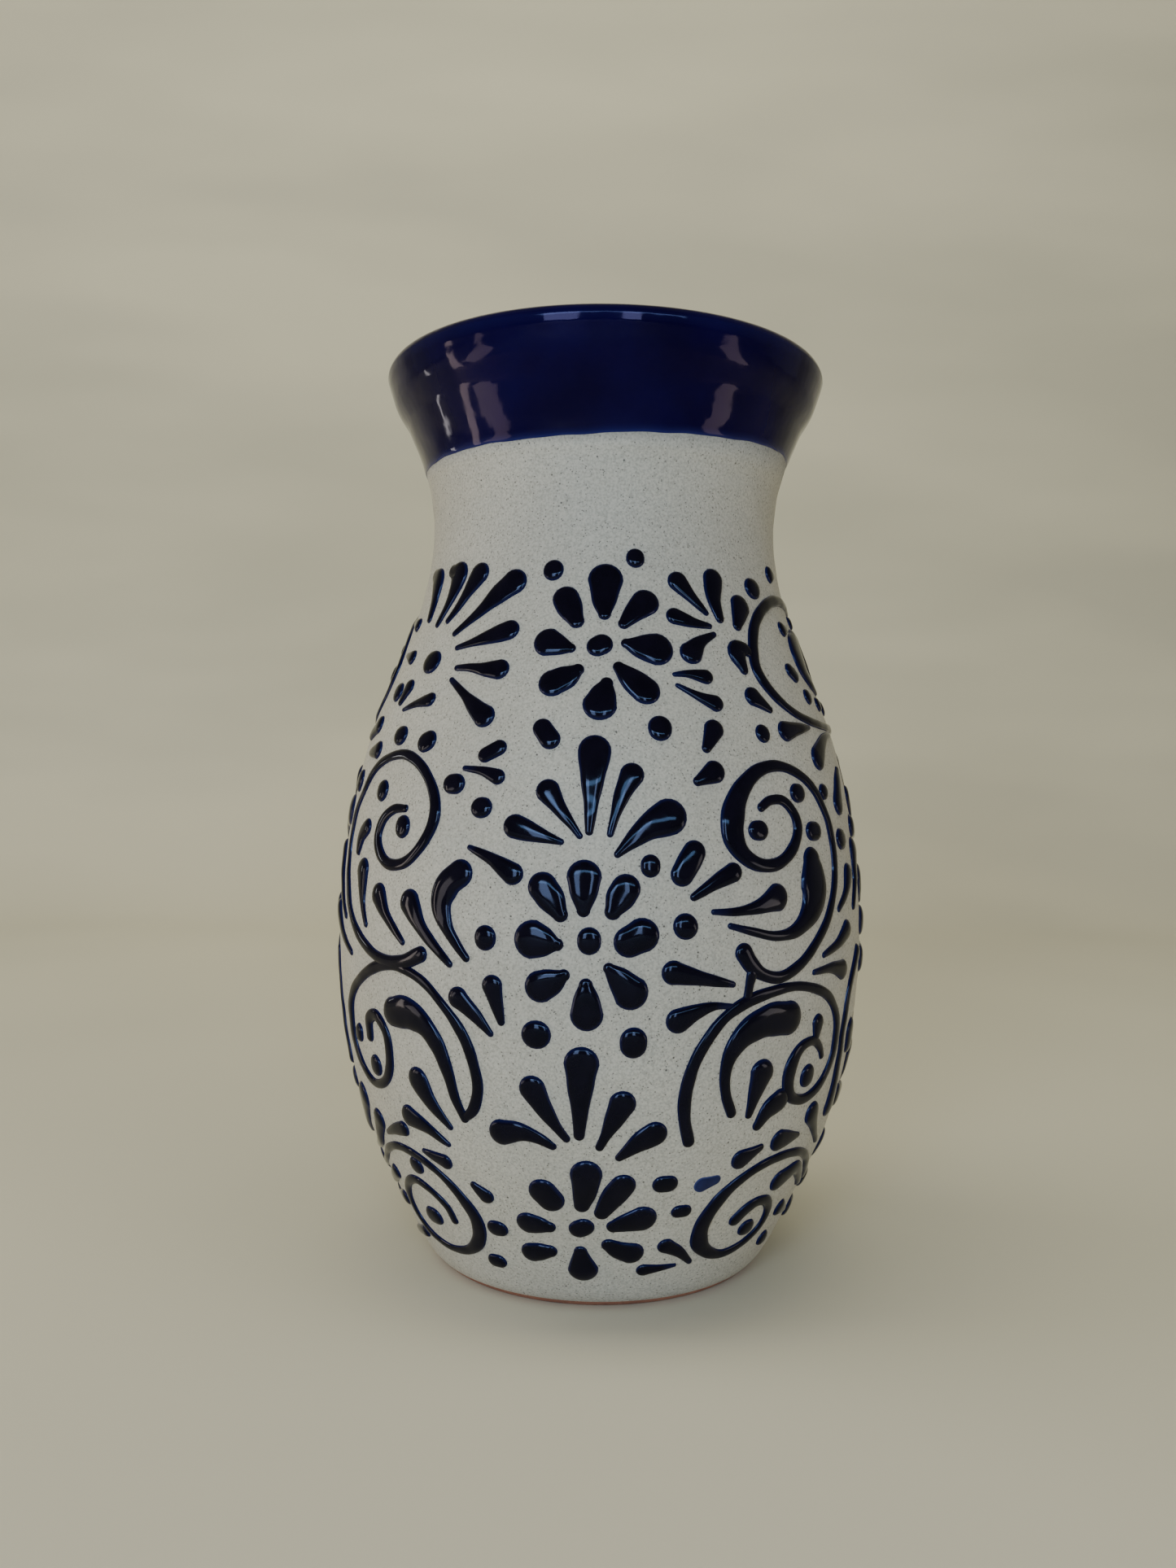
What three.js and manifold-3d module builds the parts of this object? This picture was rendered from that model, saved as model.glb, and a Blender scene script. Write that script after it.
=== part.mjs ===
// Tall-necked pottery vase with raised slip-trailed ornament.
// Millimetres, +Z up, standing on Z = 0 with the axis of turning on Z.
// Angles are in degrees round the axis: 0 faces -Y, and they grow towards +X.
import * as THREE from 'three';
import { mergeVertices } from 'three/addons/utils/BufferGeometryUtils.js';
import Module from 'manifold-3d';

const wasm = await Module();
wasm.setup();

// ---- driving dimensions ----
const HEIGHT = 280;
const FOOT_R = 50.3;
const BELLY_R = 82.9;
const NECK_R = 54.9;
const LIP_R = 70;
const WALL = 7; // the whole wall, coats included
const FLOOR = 9;
const COAT = 1.2; // how deep the clay lies under the outer surface of the slip and of the glaze
const GAP = 0.3; // clearance that touching pieces keep
const LINING = 0.8;
const GLAZE_LINE = 249.5; // lower edge of the dark band outside
const GLAZE_INSIDE = 238; // lower edge of the dark band inside the neck
const BARE_FOOT = 1.8; // strip of bare clay above the floor
const FACETS = 36; // facets round the axis
const STROKE_RISE = 1.0; // how far the middle of a stroke stands up

// ---- the thrown outline: [height, radius], joined by a smooth curve ----
const OUTLINE = [
  [0, FOOT_R],
  [6, FOOT_R + 4.9],
  [20, 62.3],
  [45, 73.5],
  [70, 80],
  [100, BELLY_R],
  [130, 81],
  [160, 75.1],
  [185, 66.1],
  [207, 58.2],
  [228, NECK_R],
  [247, 57.1],
  [262, 63],
  [269, 67.3],
  [275, LIP_R - 0.5],
];

// Slope of the outline at one of its points.
function slopeAt(i) {
  const before = OUTLINE[Math.max(i - 1, 0)];
  const after = OUTLINE[Math.min(i + 1, OUTLINE.length - 1)];
  return (after[1] - before[1]) / (after[0] - before[0]);
}

// Outer radius of the pot at a height, by cubic Hermite pieces.
function wallRadius(z) {
  let i = 0;
  while (i < OUTLINE.length - 2 && z > OUTLINE[i + 1][0]) i += 1;
  const [z0, r0] = OUTLINE[i];
  const [z1, r1] = OUTLINE[i + 1];
  const span = z1 - z0;
  const t = (z - z0) / span;
  const blend = t * t * (3 - 2 * t);
  const lead = t * (1 - t) * (1 - t) * span * slopeAt(i);
  const trail = t * t * (t - 1) * span * slopeAt(i + 1);
  return r0 + (r1 - r0) * blend + lead + trail;
}

// ---- turned bodies ----
const LOWER_WALL = [BARE_FOOT, 6, 12, 20, 34, 50, 70, 92, 114, 136, 156, 172, 184, 195, 204, 212, 220, 229];
const UPPER_WALL = [GLAZE_LINE, 257, 264, 270, 275];
const NECK_WALL = [GLAZE_INSIDE];
const INNER_WALL = [229, 217, 204, 189, 172, 156, 136, 114, 92, 72, 52, 34, 24];

// The wall's surface, moved in towards the axis by a depth.
const wall = (heights, depth) => heights.map((z) => new THREE.Vector2(wallRadius(z) - depth, z));

// The rounded lip, moved in from the outside by a depth, from the outer side to the inner one.
function lip(depth) {
  const half = WALL / 2;
  const middle = LIP_R - half;
  const points = [];
  for (const turn of [15, 50, 90, 130, 165]) {
    const angle = THREE.MathUtils.degToRad(turn);
    const x = middle + (half - depth) * Math.cos(angle);
    points.push(new THREE.Vector2(x, HEIGHT - half + (half - depth) * Math.sin(angle)));
  }
  return points;
}

// A body of revolution from a profile that closes on itself or ends on the axis.
function turned(points) {
  const geometry = new THREE.LatheGeometry(points, FACETS);
  geometry.rotateX(Math.PI / 2);
  return geometry;
}

// The floor inside the pot, raised above the bare clay, from its rounded edge to the axis.
function insideFloor(rise) {
  const edge = wallRadius(FLOOR) - WALL;
  return [
    new THREE.Vector2(edge - 5 - rise, FLOOR + 1.5 + rise),
    new THREE.Vector2(edge - 14 - rise, FLOOR + rise),
    new THREE.Vector2(0, FLOOR + rise),
  ];
}

const innerNeck = [267, 258, GLAZE_LINE];

// The clay, in courses that lie flush on each other: [name, bottom, top] of each plain one.
const COURSES = [
  ['clay_belly_low', 34, 92],
  ['clay_belly_high', 92, 156],
  ['clay_shoulder', 156, 204],
  ['clay_neck', 204, GLAZE_LINE],
];
const FOOT_TOP = COURSES[0][1];

// The heights of both faces of the clay that lie from a bottom to a top.
function between(heights, bottom, top) {
  return heights.filter((z) => z >= bottom && z <= top);
}

// A plain course of the clay wall.
function clayCourse(bottom, top) {
  const outside = wall(between([...LOWER_WALL, ...NECK_WALL, GLAZE_LINE], bottom, top), COAT);
  const inside = wall(between([GLAZE_LINE, ...NECK_WALL, ...INNER_WALL], bottom, top), WALL - COAT);
  return turned([...outside, ...inside, outside[0].clone()]);
}

function clayMouth() {
  const outside = wall(UPPER_WALL, COAT);
  return turned([...outside, ...lip(COAT), ...wall(innerNeck, WALL - COAT), outside[0].clone()]);
}

// The foot course, with the floor in it.
function clayFoot() {
  return turned([
    new THREE.Vector2(0, 0),
    new THREE.Vector2(FOOT_R - COAT, 0),
    ...wall(between(LOWER_WALL, 0, FOOT_TOP), COAT),
    ...wall(between(INNER_WALL, 0, FOOT_TOP), WALL - COAT),
    ...insideFloor(0),
  ]);
}

function whiteSlipCoat() {
  const heights = [...LOWER_WALL, ...NECK_WALL, GLAZE_LINE - GAP];
  const outside = wall(heights, 0);
  const inside = wall(heights, COAT - GAP).reverse();
  return turned([...outside, ...inside, outside[0].clone()]);
}

function rimGlaze() {
  const outside = [...wall(UPPER_WALL, 0), ...lip(0), ...wall([...innerNeck, ...NECK_WALL], WALL)];
  const inside = [
    ...wall(UPPER_WALL, COAT - GAP),
    ...lip(COAT - GAP),
    ...wall([...innerNeck, ...NECK_WALL], WALL - COAT + GAP),
  ];
  return turned([...outside, ...inside.reverse(), outside[0].clone()]);
}

function innerLining() {
  const heights = [GLAZE_INSIDE - GAP, ...INNER_WALL];
  const bed = [...wall(heights, WALL - COAT + GAP), ...insideFloor(GAP)];
  const face = [...wall(heights, WALL - COAT + GAP + LINING), ...insideFloor(GAP + LINING)];
  return turned([...bed.reverse(), ...face]);
}

// ---- raised strokes ----
// A stroke is a list of [angle, height, width] points that the trailed slip ran through.

// A point of the pot's surface, raised along the surface's normal.
function onSurface(angle, z, rise) {
  const step = 0.5;
  const lean = (wallRadius(z + step) - wallRadius(z - step)) / (2 * step);
  const length = Math.hypot(1, lean);
  const a = THREE.MathUtils.degToRad(angle);
  const r = wallRadius(z) + rise / length;
  return new THREE.Vector3(r * Math.sin(a), -r * Math.cos(a), z - (rise * lean) / length);
}

// Millimetres of surface for one degree and for one millimetre of height.
function scaleAt(z) {
  const lean = wallRadius(z + 0.5) - wallRadius(z - 0.5);
  return [THREE.MathUtils.degToRad(wallRadius(z)), Math.hypot(1, lean)];
}

// Stations along a stroke: [angle, height, half width, unit direction in millimetres].
function stations(stroke, steps) {
  const curve = new THREE.CatmullRomCurve3(stroke.map(([a, z, w]) => new THREE.Vector3(a, z, w)), false, 'centripetal');
  const count = (stroke.length - 1) * steps;
  const heading = (t) => {
    const ahead = curve.getPoint(Math.min(t + 0.002, 1));
    const back = curve.getPoint(Math.max(t - 0.002, 0));
    const [sa, sz] = scaleAt(back.y);
    return new THREE.Vector2((ahead.x - back.x) * sa, (ahead.y - back.y) * sz).normalize();
  };
  const list = [];
  for (let i = 0; i <= count; i += 1) {
    const p = curve.getPoint(i / count);
    list.push({ a: p.x, z: p.y, half: p.z / 2, dir: heading(i / count) });
  }
  const rounded = (end, sense) => [65, 30].map((turn) => {
    const angle = THREE.MathUtils.degToRad(turn);
    const [sa, sz] = scaleAt(end.z);
    const reach = sense * end.half * Math.sin(angle);
    const a = end.a + (reach * end.dir.x) / sa;
    const z = end.z + (reach * end.dir.y) / sz;
    return { a, z, half: end.half * Math.cos(angle), dir: end.dir };
  });
  return [...rounded(list[0], -1), ...list, ...rounded(list[count], 1).reverse()];
}

// One closed, low bead of slip along a stroke: a flat bed and a shoulder on each side of its crest.
function bead(stroke, steps = 2) {
  const line = stations(stroke, steps);
  const fullest = Math.max(...line.map((s) => s.half));
  const vertices = [];
  for (const { a, z, half, dir } of line) {
    const [sa, sz] = scaleAt(z);
    const bed = GAP + (half * half) / (2 * wallRadius(z)); // the flat bed stays clear of the round wall
    const crest = bed + STROKE_RISE * Math.min(1, 0.45 + (0.55 * half) / Math.min(fullest, 1.6));
    for (const [side, height] of [[-1, bed], [-0.45, crest], [0.45, crest], [1, bed]]) {
      const across = side * half;
      vertices.push(onSurface(a - (across * dir.y) / sa, z + (across * dir.x) / sz, height));
    }
  }
  const index = [0, 1, 2, 0, 2, 3];
  for (let i = 0; i + 1 < line.length; i += 1) {
    for (let k = 0; k < 4; k += 1) {
      const here = 4 * i + k;
      const next = 4 * i + ((k + 1) % 4);
      index.push(here, here + 4, next, next, here + 4, next + 4);
    }
  }
  const last = 4 * (line.length - 1);
  index.push(last, last + 2, last + 1, last, last + 3, last + 2);
  const geometry = new THREE.BufferGeometry().setFromPoints(vertices);
  geometry.setIndex(index);
  geometry.computeVertexNormals();
  return geometry;
}

// Strokes that ran into each other while wet, as one solid.
function fused(strokes) {
  const solids = strokes.map((stroke) => {
    const plain = bead(stroke);
    plain.deleteAttribute('normal');
    const merged = mergeVertices(plain);
    const vertProperties = new Float32Array(merged.attributes.position.array);
    return new wasm.Manifold(new wasm.Mesh({ numProp: 3, vertProperties, triVerts: new Uint32Array(merged.index.array) }));
  });
  const mesh = solids.reduce((all, one) => all.add(one)).getMesh();
  const geometry = new THREE.BufferGeometry();
  geometry.setAttribute('position', new THREE.BufferAttribute(new Float32Array(mesh.vertProperties), 3));
  geometry.setIndex(new THREE.BufferAttribute(new Uint32Array(mesh.triVerts), 1));
  geometry.computeVertexNormals();
  return geometry;
}

// The front column, up the middle of the pot: three eight-petalled rosettes and two fans of drops.
const FRONT_COLUMN = {
  rosette_high_heart: [[-1.9, 186.4, 6.2], [-0.9, 187, 6.4]],
  rosette_high_petal_n: [[-0.1, 205.8, 9.6], [-0.4, 199.5, 7], [-0.3, 195.8, 3.8]],
  rosette_high_petal_ne: [[10.4, 199.5, 7.8], [7.2, 196.3, 6], [4.6, 193.1, 3.4]],
  rosette_high_petal_e: [[12.2, 186, 10], [8, 186.6, 7.2], [5, 187.4, 3]],
  rosette_high_petal_se: [[9, 174.1, 8.6], [5.5, 177.8, 6.4], [3.1, 180.6, 3.2]],
  rosette_high_petal_s: [[-1.1, 170.2, 9.4], [-0.3, 173.6, 7], [0.3, 175.9, 3.8]],
  rosette_high_petal_sw: [[-11.8, 176, 8.4], [-8.6, 177.8, 6.8], [-6.3, 179.7, 3.6]],
  rosette_high_petal_w: [[-13.8, 187.6, 8.6], [-10.8, 186.6, 6], [-8.3, 185.9, 2.8]],
  rosette_high_petal_nw: [[-10.6, 200.4, 7.6], [-9, 197, 7], [-7.4, 193.8, 4.8]],
  fan_high_centre: [[-2, 157.4, 8.8], [-2.3, 150, 6.6], [-2.5, 142.5, 3.8], [-2.75, 136.2, 2.2]],
  fan_high_mid_left: [[-10.9, 146.6, 6.6], [-8.2, 141.6, 4], [-6, 137.8, 2.4], [-4.5, 135, 1.7]],
  fan_high_mid_right: [[5.4, 151.2, 6.6], [3.6, 146.4, 4.6], [2.2, 140.8, 2.8], [1.2, 135.6, 1.9]],
  fan_high_left: [[-17, 137.2, 7], [-13.3, 135.6, 5], [-10, 134.2, 2.8], [-8, 133.4, 1.8]],
  fan_high_right: [[12.4, 140.2, 10], [8.6, 137.6, 7.6], [5, 133.6, 4.2], [2.6, 130.4, 2]],
  rosette_mid_heart: [[-2.4, 107.4, 6.6], [-2.4, 108.4, 6.6]],
  rosette_mid_petal_n: [[-3.5, 124.3, 9.3], [-3.5, 120, 7.4], [-3.5, 115.8, 3.8]],
  rosette_mid_petal_ne: [[4.1, 121.5, 7.8], [2.9, 118.6, 7.2], [1.8, 115.6, 4.6]],
  rosette_mid_petal_e: [[7.1, 109.5, 9.4], [4.8, 107.8, 8.6]],
  rosette_mid_petal_se: [[5.1, 94.8, 9.6], [3, 98.3, 6.4], [1.2, 100.9, 3]],
  rosette_mid_petal_s: [[-2.7, 88.8, 8.6], [-2.8, 93, 7.2], [-2.9, 96.4, 3.8]],
  rosette_mid_petal_sw: [[-11.1, 95.8, 9], [-8.8, 97.3, 7], [-6.9, 98.9, 3.4]],
  rosette_mid_petal_w: [[-12.6, 107.9, 10], [-10.2, 107.3, 7.8], [-8.2, 106.8, 3.4]],
  rosette_mid_petal_nw: [[-11.1, 121.6, 8.4], [-9.4, 118.4, 7.6], [-7.7, 114.6, 4.2]],
  fan_low_centre: [[-3.6, 75.6, 9.2], [-3.8, 68, 6.8], [-3.9, 61, 4], [-4.05, 56, 3]],
  fan_low_mid_left: [[-13, 68.4, 7.2], [-10.9, 63.2, 5], [-8.4, 58, 3], [-6.6, 54.9, 2.2]],
  fan_low_mid_right: [[4.2, 64.9, 7.2], [2.6, 60.2, 5.2], [1, 55.6, 3], [0, 52.8, 2.4]],
  fan_low_left: [[-19.8, 55.4, 7.6], [-16, 56, 5.6], [-12.2, 54.6, 3.6], [-9.4, 52.5, 2.2]],
  fan_low_right: [[10.8, 56.4, 7.4], [8, 54.2, 5.8], [5.6, 51.6, 3.6], [4, 49.8, 2.2]],
  rosette_low_heart: [[-4.4, 27.6, 6], [-3.4, 28.2, 6]],
  rosette_low_petal_n: [[-2.7, 44.6, 8.6], [-3, 39.6, 7.2], [-3.7, 35.2, 4.6]],
  rosette_low_petal_ne: [[5.1, 41.4, 7.2], [2.8, 37.2, 6.6], [0.8, 33, 4.4]],
  rosette_low_petal_e: [[10, 30.8, 8.6], [6.2, 29.6, 6.6], [3.7, 28.6, 4.2]],
  rosette_low_petal_se: [[8.5, 19.6, 7.4], [5.4, 20.7, 6.4], [2.7, 22.5, 4.2]],
  rosette_low_petal_s: [[-3.8, 14.3, 8.8], [-4.1, 17, 6.4], [-4.3, 20.1, 3.8]],
  rosette_low_petal_sw: [[-17, 18.6, 6.4], [-14.4, 19.2, 6.2], [-12.2, 19.6, 4.4]],
  rosette_low_petal_w: [[-16.6, 28.3, 7], [-13.8, 28, 6], [-11.6, 27.6, 3.8]],
  rosette_low_petal_nw: [[-12.2, 38.8, 8.6], [-10.6, 36.4, 7.8]],
};

// The scrolls and the fat commas on both sides of the front column, trailed again on the far half.
const SPIRAL_LEFT = [
  [-44.2, 141.3, 2.4], [-48, 141, 3], [-51.6, 138, 3.6], [-52.9, 133.2, 4], [-51.2, 128.6, 4], [-47.5, 125.6, 3.4],
  [-42.5, 126.3, 3.4], [-38, 131.4, 3.6], [-35.4, 139.5, 3.9], [-37, 146.8, 3.6], [-41.5, 153.2, 3.2],
  [-47.5, 156.5, 3.2], [-54, 156, 3], [-60, 153, 3], [-65.2, 146.2, 3], [-68.8, 138, 2.8], [-69, 128.5, 2.8],
  [-66, 116.5, 3], [-61.5, 108, 3.2], [-55, 102.2, 3.4], [-48.3, 98.9, 3.6], [-42, 98.8, 4.2], [-36.4, 101.8, 4.8],
];
const C_SCROLL_LEFT = [
  [-25.2, 61.9, 3], [-24.1, 67, 3.4], [-24.8, 73.4, 3.4], [-27, 81.6, 3.4], [-31, 88.6, 2.8], [-36.5, 94.9, 2.8],
  [-43.5, 97.6, 3], [-50, 96.4, 3.4], [-57, 92, 3.4], [-62.6, 86.2, 3.8], [-65, 78.5, 4.4], [-64.4, 71.5, 4],
  [-61.2, 65, 3.2], [-55.8, 61.4, 3], [-50.8, 63.4, 3.2], [-47.8, 69.4, 3.6], [-48, 78, 3.5], [-51.2, 82.3, 3.6],
  [-54.2, 80.8, 4], [-54.7, 75.6, 3.8],
];
const SPIRAL_RIGHT = [
  [32.9, 142.9, 2.6], [35.4, 144.8, 2.9], [39, 144.9, 3.1], [42, 141.2, 3.5], [42.5, 136.2, 3.7], [40, 131, 3.8],
  [35.6, 127.5, 3.6], [31, 127.6, 4], [27.4, 130.6, 5.4], [25.6, 135.6, 7], [26.2, 142.2, 7], [28.9, 148.4, 5.6],
  [33.4, 153, 4], [39, 154.5, 3.3], [45.4, 152.5, 3.2], [50.6, 148, 3.2], [54, 141, 3.3], [55.5, 133, 3.4],
  [55, 123.6, 3.2], [52, 114, 3.3], [47, 106, 3.4], [41, 99.6, 3.4], [35.5, 96.9, 3.4], [31.4, 98.2, 3.8],
  [28.7, 101, 5], [27.1, 104.2, 5.4],
];
const LINK_RIGHT = [[28.9, 98.5, 3.4], [28.4, 95, 2.8], [28.2, 92, 3.2]];
const C_SCROLL_RIGHT = [
  [18.1, 53.6, 3.6], [16.7, 60, 3.5], [16.4, 66.5, 3.8], [17.4, 74, 3.7], [19.8, 81, 3.5], [23.4, 87.2, 3.2],
  [27.8, 90.9, 3.8], [33.7, 93.1, 3.2], [40, 93.9, 2.8], [46.4, 92.4, 2.9], [52, 89.2, 3.2], [56.2, 83.2, 3.5],
  [57.8, 75.4, 3.8], [56.6, 68.4, 3.8], [53, 62.9, 3.5], [47.6, 60.5, 3.2], [43, 62.1, 3.7], [41, 66.6, 4.8],
  [41.4, 72.3, 4.8], [44, 76.5, 3.5], [47.8, 77.3, 3], [50.8, 74.6, 2.6], [51.8, 72.2, 2.2],
];
const SIDE_STROKES = {
  scroll_left: [SPIRAL_LEFT, C_SCROLL_LEFT],
  scroll_right: [SPIRAL_RIGHT, LINK_RIGHT, C_SCROLL_RIGHT],
  low_spiral_left: [[
    [-39.4, 23.8, 2.6], [-40.4, 28, 2.8], [-44, 31.7, 2.8], [-49.4, 33.7, 3], [-54.6, 31.6, 3], [-58.9, 26.4, 3.3],
    [-59.6, 20.8, 3.1], [-56.2, 16.3, 2.8], [-50, 13.7, 2.6], [-43.5, 13.2, 2.7], [-37.2, 15, 3.3],
    [-32.8, 19.2, 4.7], [-31.3, 25.5, 4.8], [-33.4, 32, 3.8], [-38.4, 38.6, 2.9], [-45, 42.6, 2.8],
    [-52.5, 43.3, 2.8], [-60, 40.2, 2.6], [-67, 35, 2.6], [-74, 31, 2.4],
  ]],
  low_spiral_right: [[
    [36.6, 26.2, 4.8], [39, 28.9, 4.6], [42.4, 30.4, 3.7], [46.4, 29.5, 3.6], [49.4, 25.8, 3.6], [49.4, 21.2, 3.2],
    [46, 17.8, 2.8], [41, 15.6, 3], [35.6, 15, 3.3], [30.6, 16.9, 4], [27, 20.8, 5.4], [26.2, 26.6, 5.4],
    [28.2, 33.2, 4.7], [32.4, 38.9, 3.7], [38, 42.6, 3.2], [45, 44, 3], [52, 43.3, 3], [58.6, 40.2, 3],
    [64, 35.4, 3], [70, 30, 2.8],
  ]],
  high_scroll_right: [[
    [74, 205.9, 3.4], [66, 206, 3.6], [58, 204.5, 3.7], [50.6, 201, 3.8], [45, 196.2, 3.8], [41.2, 189, 4],
    [40.2, 181.8, 4.2], [43, 176, 3.6], [48.6, 171, 3.2], [56, 168.4, 2.9], [65, 167.5, 2.9], [74, 167.3, 2.8],
  ], [
    [72, 167.4, 2.6], [84, 167.2, 2.9], [93, 168.4, 3], [100, 171.6, 3.1], [105.5, 177.5, 3.3],
    [107.5, 184.5, 3.4], [105, 192, 3.3], [99.5, 197.7, 3.2], [91, 202.4, 3.2], [72, 206, 3.2],
  ]],
  comma_left: [[
    [-27.9, 124.3, 8], [-30.4, 121.4, 8.2], [-31.8, 116.4, 7], [-30.4, 110.4, 4.4], [-27.9, 105.4, 3],
    [-25.8, 102, 2.3],
  ]],
  comma_right: [[
    [46.2, 128.2, 7.6], [46.4, 123.6, 12], [46.2, 118.4, 11.6], [43.6, 112.8, 7], [39.4, 109, 4.2],
    [34.5, 108.2, 2.8], [29.5, 109.6, 2.4], [24.2, 111.5, 1.8],
  ]],
};

// ---- materials ----
const surface = (color, roughness) => new THREE.MeshStandardMaterial({ color, roughness, metalness: 0 });
const terracotta = surface(0x9c6448, 0.9);
const whiteSlip = surface(0xcdc8ba, 0.7);
const cobaltRim = surface(0x0d0a30, 0.12);
const cobaltStroke = surface(0x0c0e24, 0.15);

// ---- the assembly ----
const vase = new THREE.Group();
vase.name = 'talavera_vase';

function addPart(name, geometry, material) {
  const mesh = new THREE.Mesh(geometry, material);
  mesh.name = name;
  vase.add(mesh);
}

addPart('clay_foot', clayFoot(), terracotta);
for (const [name, bottom, top] of COURSES) {
  addPart(name, clayCourse(bottom, top), terracotta);
}
addPart('clay_mouth', clayMouth(), terracotta);
addPart('white_slip_coat', whiteSlipCoat(), whiteSlip);
addPart('rim_glaze', rimGlaze(), cobaltRim);
addPart('inner_lining', innerLining(), whiteSlip);

for (const [name, stroke] of Object.entries(FRONT_COLUMN)) {
  addPart(name, bead(stroke), cobaltStroke);
}

const HALVES = { front: 0, back: 180 };
for (const [half, turn] of Object.entries(HALVES)) {
  for (const [name, strokes] of Object.entries(SIDE_STROKES)) {
    const turnedStrokes = strokes.map((stroke) => stroke.map(([a, z, w]) => [a + turn, z, w]));
    const geometry = strokes.length > 1 ? fused(turnedStrokes) : bead(turnedStrokes[0]);
    addPart(`${name}_${half}`, geometry, cobaltStroke);
  }
}

export default vase;
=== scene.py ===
# The looks of a talavera pottery vase: a turned pot in slip and glaze, with raised strokes of cobalt slip.
# Lengths are millimetres and angles degrees until a mesh is made; angle 0 faces -Y and grows towards +X.
import itertools
import math

import bpy
import numpy as np
from mathutils import Matrix, Quaternion, Vector


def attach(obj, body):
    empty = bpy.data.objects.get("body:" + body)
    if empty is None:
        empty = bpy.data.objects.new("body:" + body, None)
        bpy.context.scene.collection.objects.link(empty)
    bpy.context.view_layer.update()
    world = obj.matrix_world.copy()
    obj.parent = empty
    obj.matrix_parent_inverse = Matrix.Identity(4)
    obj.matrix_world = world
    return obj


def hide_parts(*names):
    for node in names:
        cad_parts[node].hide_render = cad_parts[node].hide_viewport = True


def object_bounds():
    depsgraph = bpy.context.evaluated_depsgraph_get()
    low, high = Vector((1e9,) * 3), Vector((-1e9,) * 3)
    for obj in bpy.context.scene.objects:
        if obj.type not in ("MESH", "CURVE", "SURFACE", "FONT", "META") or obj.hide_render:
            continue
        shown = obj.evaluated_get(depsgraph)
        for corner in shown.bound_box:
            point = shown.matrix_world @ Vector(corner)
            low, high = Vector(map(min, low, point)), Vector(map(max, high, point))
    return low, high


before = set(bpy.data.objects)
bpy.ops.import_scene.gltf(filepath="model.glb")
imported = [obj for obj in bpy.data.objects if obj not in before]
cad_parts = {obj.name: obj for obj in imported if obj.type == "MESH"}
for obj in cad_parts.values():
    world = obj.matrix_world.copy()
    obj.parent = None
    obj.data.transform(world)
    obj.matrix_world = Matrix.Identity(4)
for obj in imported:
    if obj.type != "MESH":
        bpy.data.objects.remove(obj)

cad_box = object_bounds()
MM = 0.001

# ---- driving dimensions, the same as the CAD model's ----
HEIGHT = round(cad_box[1][2] / MM)
FOOT_R = 50.3
BELLY_R = 82.9
NECK_R = 54.9
LIP_R = 70
WALL = 7
FLOOR = 9
GLAZE_LINE = 249.5  # mean height of the dark band's lower edge outside
GLAZE_INSIDE = 238  # how far down the band reaches inside
OUTLINE = np.array([
    (0, FOOT_R), (6, FOOT_R + 4.9), (20, 62.3), (45, 73.5), (70, 80), (100, BELLY_R), (130, 81), (160, 75.1),
    (185, 66.1), (207, 58.2), (228, NECK_R), (247, 57.1), (262, 63), (269, 67.3), (275, LIP_R - 0.5),
])

# ---- dimensions of the finer work ----
TURNS = 320  # columns of faces round the pot
BARE_FOOT = 1.8  # height up to which the slip was wiped off
GLAZE_TILT = 2.5  # how far the band's lower edge climbs and falls round the neck
GLAZE_TILT_AT = 25  # angle where it crosses its mean height on the way up
GLAZE_SAG = 0.95  # how far it also sags at the front and the back
GLAZE_STEP = 0.32  # how proud of the coat the band is at its lower edge
LIP_AT = HEIGHT - 5.8  # where the flare ends and the round lip begins, outside
LIP_INSIDE_AT = HEIGHT - 8  # and inside
LIP_WARP = 0.4  # how far the lip rises at the sides of the pot
GLAZE_THICK = 0.9
SLIP_THICK = 1.1
CLAY_INSET = 1.2  # how far the clay lies under the finished face


def smooth(x, xs, ys):
    """A smooth curve through the points (xs, ys), by cubic Hermite pieces, at x."""
    n = len(xs)
    before, after = np.maximum(np.arange(n) - 1, 0), np.minimum(np.arange(n) + 1, n - 1)
    slopes = (ys[after] - ys[before]) / (xs[after] - xs[before])
    i = np.clip(np.searchsorted(xs, x, side="right") - 1, 0, n - 2)
    span = xs[i + 1] - xs[i]
    t = (x - xs[i]) / span
    blend = t * t * (3 - 2 * t)
    lead = t * (1 - t) ** 2 * span * slopes[i]
    trail = t * t * (t - 1) * span * slopes[i + 1]
    return ys[i] + (ys[i + 1] - ys[i]) * blend + lead + trail


def wall_radius(z):
    return smooth(np.asarray(z, float), OUTLINE[:, 0], OUTLINE[:, 1])


def hand(angle, z):
    """How far the thrown wall strays from true, in mm: out of round, with the faint rings of fingers."""
    a = np.radians(angle)
    drawn = (z / HEIGHT) ** 3
    oval = 0.1 * np.sin(2 * a + 0.6) - 0.2 * np.cos(2 * a) * drawn - 0.45 * np.sin(a) * drawn
    rings = 0.07 * np.sin(z * 0.55 + 0.5 * np.sin(a)) * np.sin(z * 0.093 + 1)
    return (oval + rings) * np.clip(z / 30, 0, 1)


def on_surface(angle, z, rise):
    """Points on the pot, raised along its normal, as an array of x, y, z in mm."""
    lean = wall_radius(z + 0.5) - wall_radius(z - 0.5)
    length = np.hypot(1, lean)
    a = np.radians(angle)
    r = wall_radius(z) + hand(angle, z) + rise / length
    return np.stack([r * np.sin(a), -r * np.cos(a), z - rise * lean / length], -1)


def scale_at(z):
    """Millimetres of surface for one degree, and for one millimetre of height."""
    lean = wall_radius(z + 0.5) - wall_radius(z - 0.5)
    return np.radians(wall_radius(z)), np.hypot(1, lean)


# ---- camera ----
CAMERA_AT = np.array([-4.284, -399.14, 146.08]) * MM
CAMERA_PITCH_ROLL = (0.456, 0.734)
SENSOR_WIDTH = 36
LENS = 28.02


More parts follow.
